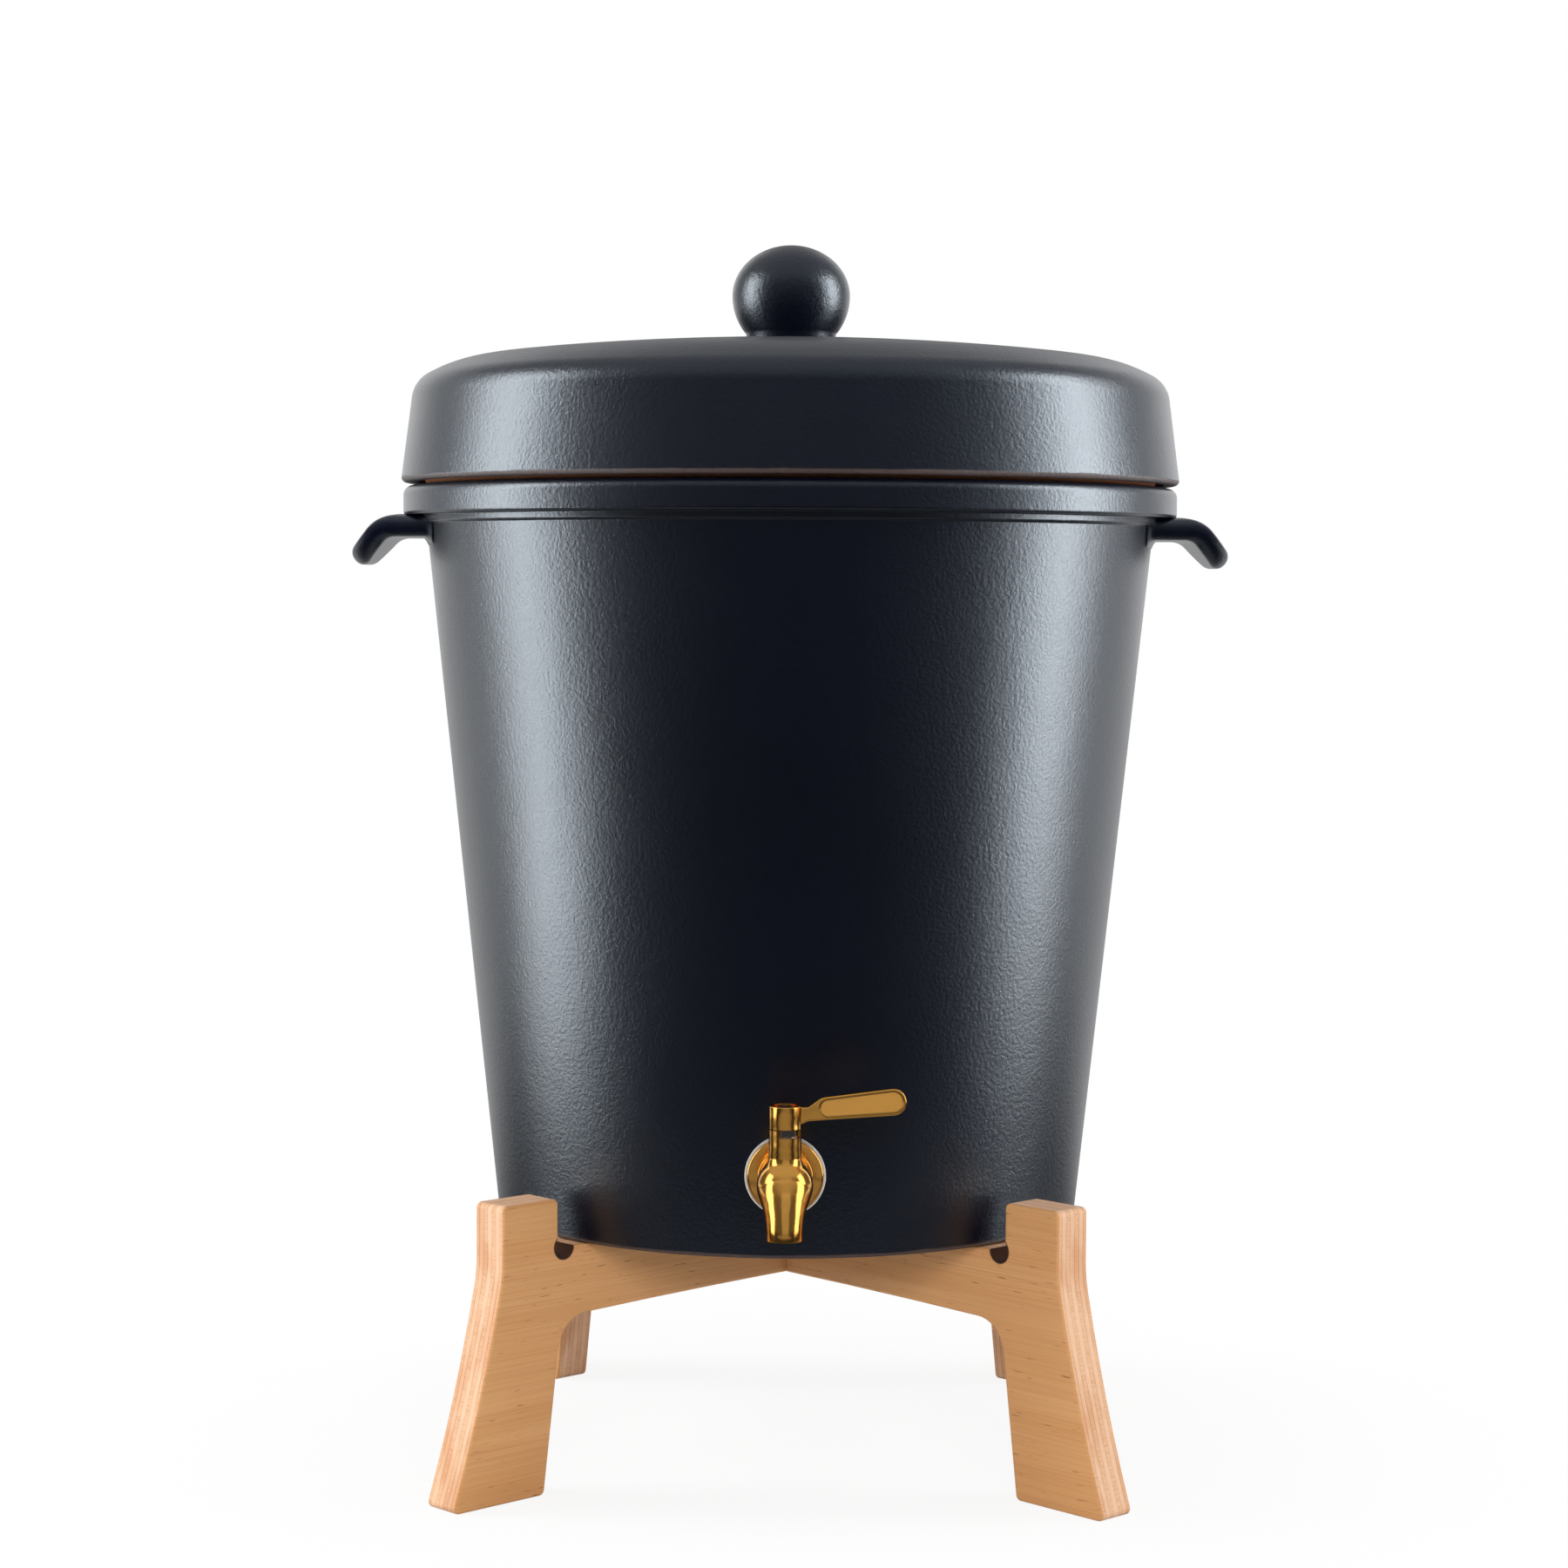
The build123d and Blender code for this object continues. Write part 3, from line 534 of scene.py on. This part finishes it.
# %% Outlines with rounded corners
def outline(corners, span=10.0, steps=8):
    """Points along straight sides; a corner (x, y, rounding) is turned into a short arc."""
    drawn = []
    for before, corner, after in zip(corners[:-2], corners[1:-1], corners[2:]):
        here = Vector(corner[:2])
        rounding = corner[2]
        if rounding == 0:
            drawn.append([here])
            continue
        back = (Vector(before[:2]) - here).normalized()
        ahead = (Vector(after[:2]) - here).normalized()
        half = back.angle(ahead) / 2
        centre = here + (back + ahead).normalized() * (rounding / sin(half))
        start = here + back * (rounding / tan(half))
        end = here + ahead * (rounding / tan(half))
        arms = [(start - centre).lerp(end - centre, step / steps) for step in range(steps + 1)]
        drawn.append([centre + arm.normalized() * rounding for arm in arms])
    points = [Vector(corners[0][:2])]
    for arc in drawn + [[Vector(corners[-1][:2])]]:
        gap = arc[0] - points[-1]
        pieces = max(1, round(gap.length / span))
        points += [points[-1] + gap * (step / pieces) for step in range(1, pieces)] + arc
    return points


# %% Skins and lathes
def skin(name, rings):
    """Closed mesh over a row of rings with equal numbers of points, in millimetres."""
    work = bmesh.new()
    rows = [[work.verts.new(Vector(point) * MM) for point in ring] for ring in rings]
    for lower, upper in zip(rows[:-1], rows[1:]):
        for k in range(len(lower)):
            following = (k + 1) % len(lower)
            work.faces.new((lower[k], lower[following], upper[following], upper[k]))
    bmesh.ops.remove_doubles(work, verts=work.verts, dist=1e-7)
    bmesh.ops.holes_fill(work, edges=[edge for edge in work.edges if edge.is_boundary])
    bmesh.ops.recalc_face_normals(work, faces=work.faces)
    mesh = bpy.data.meshes.new(name)
    work.to_mesh(mesh)
    work.free()
    mesh.shade_smooth()
    made = bpy.data.objects.new(name, mesh)
    scene.collection.objects.link(made)
    return made


def lathe(name, profile, sides=256):
    """Turns a profile of (radius, height) points round the Z axis."""
    turns = [2 * pi * side / sides for side in range(sides)]
    return skin(name, [[(r * cos(a), r * sin(a), z) for a in turns] for r, z in profile])


def stand_for(piece, node, body, material):
    """Gives a finer piece its material, even shading and its body, and hides the CAD node that it stands
    for.
    """
    piece.data.materials.append(material)
    smoother = piece.modifiers.new("even_shading", "WEIGHTED_NORMAL")
    smoother.weight = 80
    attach(piece, body)
    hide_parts(node)
    print(piece.name, "stands for", node, "with", len(piece.data.polygons), "faces")


# %% [markdown]
# ## Crock
#
# The crock is thrown on a wheel, so one profile on the lathe gives all of it: foot ring,
# leaning wall, bead, collar and mouth, and back down the inside.

# %% Crock
foot_inner = 114.0
foot_hollow = crock_base + 3.0
wall = 9.0
floor_height = crock_base + 11.0
bead_base = collar_base - 3.3
bead_radius = crock_radius(collar_base) + 2.0
crock_profile = outline(
    [
        (0, foot_hollow, 0),
        (foot_inner, foot_hollow, 2.0),
        (foot_inner, crock_base, 1.0),
        (foot_radius, crock_base, 2.0),
        (crock_radius(bead_base), bead_base, 0.8),
        (bead_radius, bead_base, 1.2),
        (bead_radius, collar_base, 0.8),
        (collar_radius, collar_base, 1.5),
        (collar_radius, crock_top, 4.0),
        (crock_radius(crock_top) - wall, crock_top, 3.0),
        (crock_radius(floor_height) - wall, floor_height, 12.0),
        (0, floor_height, 0),
    ]
)
crock_shell = lathe("crock_shell", crock_profile)
stand_for(crock_shell, "crock", "crock", crock_glaze)

# %% [markdown]
# ## Handles
#
# Each handle is a flat tongue of clay that leaves the wall level, bends down and is rounded
# off at its tip. It is drawn as rings, placed by their distance back from the tip along the
# tongue's middle. Clay is pressed round the root with a wet finger, so the rings swell by a
# few millimetres where they meet the wall, and their top is filled in under the collar.

# %% Handle sizes
handle_thickness = 9.4
tip_width = 45.0
root_spread = 41.0
tip_radius = 15.0
bend_radius = 12.0
bend_turn = radians(48.8)
bend_run = bend_radius * tan(bend_turn / 2)
handle_axis = collar_base - 4.9
bend_start = collar_radius + 6.9 - bend_run
cad_root = crock_radius(handle_axis) - 4.5
buried_root = crock_radius(handle_axis) - 8.0
straight_length = bend_start - cad_root
drooping_length = 20.6 - bend_run
handle_length = straight_length + bend_radius * bend_turn + drooping_length
root_swell = 3.5
fill_reach = 5.5
fill_half_width = 34.0
fill_fade = 14.0
fill_top = collar_base + 0.4
print(f"handle {handle_length:.1f} long, from {cad_root:.1f} out, bent at {bend_start:.1f}")


# %% Rings of a handle
def handle_middle(to_tip):
    """Reach, height and slope of the handle's middle at a distance back from its tip."""
    past_straight = handle_length - to_tip - straight_length
    slope = min(max(past_straight / bend_radius, 0), bend_turn)
    beyond = past_straight - bend_radius * slope
    reach = bend_start + bend_radius * sin(slope) + beyond * cos(slope)
    height = handle_axis - bend_radius * (1 - cos(slope)) - beyond * sin(slope)
    return reach, height, slope


def handle_section(to_tip):
    """Points round a flat section with half-round ends: across, up, and which way each faces."""
    width = tip_width + root_spread * min(to_tip / handle_length, 1)
    if to_tip < tip_radius:
        width -= 2 * (tip_radius - sqrt(tip_radius**2 - (tip_radius - to_tip) ** 2))
    end = handle_thickness / 2
    if to_tip < end:
        end = sqrt(end**2 - (end - to_tip) ** 2)
    flat = width / 2 - end
    section = []
    for way in (1, -1):
        section += [(way * flat * (2 * k / 20 - 1), way * end, 0, way) for k in range(20)]
        for k in range(12):
            away, lift = way * sin(pi * k / 12), way * cos(pi * k / 12)
            section.append((way * flat + end * away, end * lift, away, lift))
    return section


def soft_step(value):
    """0 up to 0 and 1 from 1 on, with a soft step between."""
    share = min(max(value, 0), 1)
    return share * share * (3 - 2 * share)


def handle_ring(to_tip, side):
    """Ring of points round the handle at a distance back from its tip."""
    reach, height, slope = handle_middle(to_tip)
    ring = []
    for across, up, away, lift in handle_section(to_tip):
        x = reach + up * sin(slope)
        z = height + up * cos(slope)
        clear = min(max(hypot(x, across) - crock_radius(z), 0), root_swell)
        swell = root_swell - sqrt(root_swell**2 - (root_swell - clear) ** 2)
        across += away * swell
        z += lift * swell
        fill = soft_step((collar_radius + fill_reach - x) / fill_reach)
        fill *= soft_step((fill_half_width - abs(across)) / fill_fade) * max(lift, 0)
        z += fill * max(fill_top - z, 0)
        ring.append((side * x, side * across, z))
    return ring


# %% Handles
whole_length = handle_length + cad_root - buried_root
tip_steps = [tip_radius * (1 - cos(pi / 2 * k / 16)) for k in range(17)]
# The first ring is a hair back from the tip, so that it keeps a size
tip_steps[0] = 0.02
back_steps = [tip_radius + (whole_length - tip_radius) * k / 30 for k in range(1, 31)]
for side, where in ((1, "right"), (-1, "left")):
    handle = skin("handle_" + where, [handle_ring(step, side) for step in tip_steps + back_steps])
    stand_for(handle, "crock_handle_" + where, "crock", crock_glaze)

# %% [markdown]
# ## Lid
#
# The lid has a skirt that leans in, a soft shoulder, and a dome so shallow that from the front
# it shows as little more than a line. Inside, a level ring rests on the filter pot's rim. It
# is thrown too, so it is a second profile on the lathe.

# %% Lid
lid_wall = 8.0
seat_width = 16.0
shoulder_height = lid_seat + 1.6
shoulder_radius = lid_radius(shoulder_height)
brow_radius = shoulder_radius - 18.0
dome_start = 20.3
dome_end = 125.0
seat_outer = lid_radius(lid_seat) - lid_wall
seat_inner = seat_outer - seat_width
dome_steps = [dome_start + (dome_end - dome_start) * k / 12 for k in range(13)]
inner_steps = [seat_inner * k / 10 for k in range(10, -1, -1)]
lid_profile = outline(
    [(0, knob_low.z, 0)]
    + [(radius, dome_height(radius, lid_apex), 0) for radius in dome_steps]
    + [
        (brow_radius, dome_height(brow_radius, lid_apex), 60.0),
        (shoulder_radius, shoulder_height, 13.0),
        (lid_edge_radius, lid_edge, 2.0),
        (lid_edge_radius - lid_wall, lid_edge, 2.0),
        (seat_outer, lid_seat, 0.5),
        (seat_inner, lid_seat, 0),
    ]
    + [(radius, dome_height(radius, lid_apex - lid_wall), 0) for radius in inner_steps]
)
lid_shell = lathe("lid_shell", lid_profile)
stand_for(lid_shell, "lid", "lid", lid_glaze)

# %% [markdown]
# ## Knob
#
# The knob is a ball that is slightly flattened on top, stuck on with a thin fillet of glaze.
# Its steps are spaced by the sine of even angles, so that they follow the round evenly.

# %% Knob
knob_base = knob_low.z
knob_foot = 20.2
fillet = 0.9
knob_radius = knob_high.x
knob_crown = 22.1
knob_centre = knob_high.z - knob_crown
neck_radius = 19.7
ball_low = knob_centre - sqrt(knob_radius**2 - neck_radius**2)
quarter_steps = [pi / 2 * k / 24 for k in range(25)]
knob_profile = [(0, knob_base)]
for k in range(7):
    angle = radians(90 * k / 6)
    knob_profile.append((knob_foot - fillet * sin(angle), knob_base + fillet * (1 - cos(angle))))
for angle in quarter_steps:
    height = ball_low + (knob_centre - ball_low) * sin(angle)
    knob_profile.append((sqrt(knob_radius**2 - (knob_centre - height) ** 2), height))
for angle in quarter_steps[1:]:
    knob_profile.append((knob_radius * cos(angle), knob_centre + knob_crown * sin(angle)))
knob = lathe("knob", knob_profile, sides=128)
stand_for(knob, "lid_knob", "lid", lid_glaze)

# %% [markdown]
# ## Dressing the CAD nodes
#
# Nodes whose shape is already right keep their solid and only get a finished material. The
# hidden ones that a finer piece stands for are dressed too, so that no node is left plain.


# %% Materials on the CAD nodes
def dress(name, material):
    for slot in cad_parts[name].material_slots:
        slot.material = material


dressed = {
    "stand_board_lower": wood_lower,
    "stand_board_upper": wood_upper,
    "crock": crock_glaze,
    "crock_handle_right": crock_glaze,
    "crock_handle_left": crock_glaze,
    "lid": lid_glaze,
    "lid_knob": lid_glaze,
    "clay_filter_pot": terracotta,
    "tap_body": gold,
    "tap_outer_gasket": silicone,
    "tap_inner_gasket": silicone,
    "tap_washer": steel,
    "tap_nut": steel,
    "valve_seat": bearing_plastic,
    "valve_stem": steel,
    "stem_ring_lower": black_rubber,
    "stem_ring_upper": black_rubber,
    "stem_retaining_bush": steel,
    "tap_lever": lever_gold,
    "lever_screw": steel,
}
for node_name, node_material in dressed.items():
    dress(node_name, node_material)
print("dressed", len(dressed), "nodes of", len(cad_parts))

# %% [markdown]
# ## Floor
#
# The photograph is a studio shot on white. The floor is a pale plane that glows white where
# the camera looks at it, and a little less near the object, so that it keeps the object's
# shadow. What the glaze and the tap mirror is another matter: for them the floor is dark in
# front, brighter near the object and nearly white behind it.


# %% Floor plane
def plane_mesh(name, corners):
    mesh = bpy.data.meshes.new(name)
    mesh.from_pydata(corners, [], [(0, 1, 2, 3)])
    made = bpy.data.objects.new(name, mesh)
    scene.collection.objects.link(made)
    return made


floor = plane_mesh("floor", [(-6, -4, 0), (6, -4, 0), (6, 8, 0), (-6, 8, 0)])
white = grey(1.0)
floor_shade = Shade("floor_white", Roughness=0.9, Specular_IOR_Level=0.1)


def glow(strength):
    """Plain white light from the floor, as a shader to choose."""
    return floor_shade.node("ShaderNodeEmission", None, Color=white, Strength=strength)


# %% Floor material
floor_place = floor_shade.place()
floor_grain = floor_shade.noise(floor_place, 3.0)
floor_shade.feed("Base Color", floor_shade.blend(floor_grain, grey(0.80), grey(0.84)))
across, back, _ = floor_shade.axes(floor_place)
distance = (across * across + back * back).power(0.5)
nearby = 1.0 - distance.ramp(0.28, 0.5)
mirrored = floor_shade.choose(nearby, glow(0.03), glow(0.3))
mirrored = floor_shade.choose(back.ramp(0.2, 0.7), mirrored, glow(0.9))
mirrors = floor_shade.ray("Glossy") + floor_shade.ray("Transmission")
floor_seen = floor_shade.choose(mirrors, floor_shade.lit, mirrored)
camera_share = floor_shade.ray("Camera") * (distance.ramp(0.12, 0.4) * 0.12 + 0.88)
floor_shade.show(floor_shade.choose(camera_share, floor_seen, glow(1.0)))
floor.data.materials.append(floor_shade.material)
print("floor", [round(side, 1) for side in floor.dimensions], "metres")

# %% [markdown]
# ## World
#
# The world is white for the camera and an even, dim grey for the light that it gives. In
# mirrors it is a room: dark on the camera's side, so that the middle of the glaze stays nearly
# black, bright behind the object and brightest towards the back's sides, which draws pale
# edges on metal and glaze, and half bright overhead.

# %% World
world = bpy.data.worlds.new("studio")
scene.world = world
world.use_nodes = True
sky = Network(world.node_tree, "ShaderNodeOutputWorld")


def haze(strength):
    """Plain white sky of a given strength, as a shader to choose."""
    return sky.node("ShaderNodeBackground", None, Color=white, Strength=strength)


sideways, behind, overhead = sky.axes(sky.node("ShaderNodeTexCoord", output="Generated"))
back_wall = sky.choose(sideways.size().ramp(0.03, 0.3), haze(0.4), haze(1.5))
room = sky.choose(behind.ramp(0.5, 0.9), haze(0.12), back_wall)
room = sky.choose(overhead.ramp(0.35, 0.8), room, haze(0.5))
sky_seen = sky.choose(sky.ray("Glossy"), haze(0.3), room)
sky.show(sky.choose(sky.ray("Camera"), sky_seen, haze(1.0)))
print("world:", world.name, "with", len(sky.tree.nodes), "nodes")

# %% [markdown]
# ## Lights
#
# A lamp does two jobs: it lights a piece, and a glossy piece shows its picture. Here each job
# has its own lamps. Four soft boxes light everything at a plain level, at which a colour looks
# as it is written, and no mirror shows them. The gleams are only mirrored. Two tall ones at
# the sides draw the soft upright bands on the glaze, and two that lie over the floor carry the
# bands on further down. The tap has four of its own. Light linking gives each gleam a group
# of pieces, so that the bands on the glaze don't also brighten the wood.


# %% Soft boxes
def soft_box(name, place, aim, width, height, power):
    """A rectangular soft light at a place, facing a point."""
    data = bpy.data.lights.new(name, "AREA")
    data.shape = "RECTANGLE"
    data.size = width
    data.size_y = height
    data.energy = power
    made = bpy.data.objects.new(name, data)
    scene.collection.objects.link(made)
    made.location = place
    made.rotation_euler = (Vector(aim) - Vector(place)).to_track_quat("-Z", "Y").to_euler()
    made.visible_camera = False
    return made


middle = (0, 0, 0.28)
for lamp in (
    soft_box("left_box", (-1.2, 0.05, 0.55), middle, 0.55, 1.6, 20),
    soft_box("right_box", (1.2, 0.05, 0.55), middle, 0.5, 1.5, 12),
    soft_box("front_fill", (0.0, -2.2, 1.1), middle, 1.2, 0.8, 27),
    soft_box("top_box", (0.0, 0.2, 1.9), middle, 1.4, 1.0, 9),
):
    lamp.visible_glossy = False


# %% Gleams
def group(name, pieces):
    made = bpy.data.collections.new(name)
    for piece in pieces:
        made.objects.link(piece)
    return made


def gleam(name, receivers, *settings):
    """A soft box that is only mirrored, and only in some pieces."""
    made = soft_box(name, *settings)
    made.visible_diffuse = False
    made.light_linking.receiver_collection = receivers


def low_gleam(name, receivers, x, y, *settings):
    """A gleam that lies just over the floor and faces straight up."""
    gleam(name, receivers, (x, y, 0.02), (x, y, 1), *settings)


glazed_pieces = group("glazed", [crock_shell, lid_shell, knob])
crock_middle = (0, 0, 0.35)
gleam("left_gleam", glazed_pieces, (-1.2, -0.08, 0.62), crock_middle, 0.48, 1.25, 20)
gleam("right_gleam", glazed_pieces, (1.2, -0.03, 0.62), crock_middle, 0.44, 1.25, 22)
low_gleam("left_low", glazed_pieces, -0.95, -0.09, 0.5, 0.46, 7)
low_gleam("right_low", glazed_pieces, 1.0, -0.03, 0.4, 0.44, 3)
tap_pieces = group("tap_pieces", [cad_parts[node] for node in ("tap_body", "tap_lever")])
tap_middle = (0, -0.16, 0.15)
gleam("left_tap_gleam", tap_pieces, (-1.2, -0.42, 0.35), tap_middle, 0.62, 1.4, 8)
gleam("right_tap_gleam", tap_pieces, (1.2, -0.36, 0.35), tap_middle, 0.62, 1.4, 7)
gleam("front_tap_gleam", tap_pieces, (0.2, -2.0, 0.7), tap_middle, 1.6, 1.4, 2)
low_gleam("low_tap_gleam", tap_pieces, 0, -1.15, 1.2, 1.0, 1.1)
